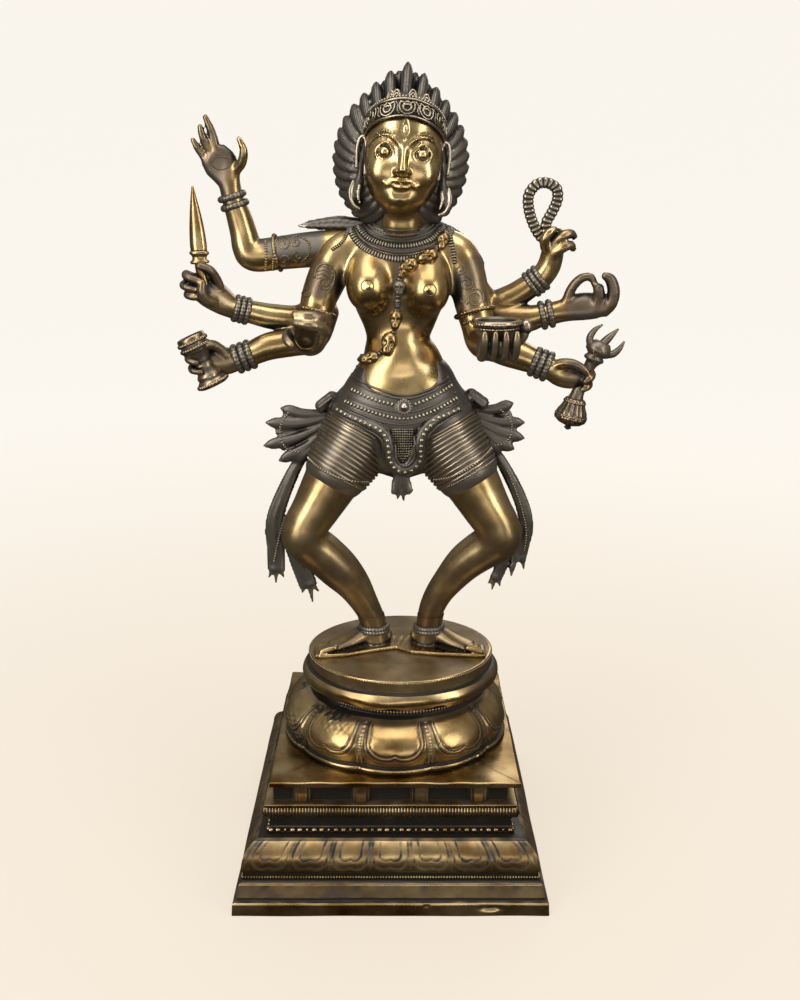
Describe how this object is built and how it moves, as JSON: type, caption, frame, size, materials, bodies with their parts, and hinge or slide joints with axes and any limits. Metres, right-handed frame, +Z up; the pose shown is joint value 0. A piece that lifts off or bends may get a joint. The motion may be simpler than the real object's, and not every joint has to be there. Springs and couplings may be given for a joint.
{
  "type": "cast figure on pedestal",
  "caption": "Standing many-armed goddess figure with flaming hair, raised attributes and spread knees, on a round lotus and a stepped square pedestal.",
  "frame": {"origin": "middle of the pedestal's underside, on the floor", "axes": "+Z up along the figure's height, the figure faces -Y, +X to the viewer's right"},
  "size_m": [0.3329, 0.2396, 0.6101],
  "materials": {
    "figure_brass": "polished skin, dark patina in the carving",
    "lotus_brass": "polished, dark in the grooves",
    "pedestal_brass": "brown patina, rubbed bright on the edges"
  },
  "bodies": {
    "root": {"kali_figure": "figure_brass", "lotus_plinth": "lotus_brass", "square_pedestal": "pedestal_brass"}
  },
  "joints": []
}
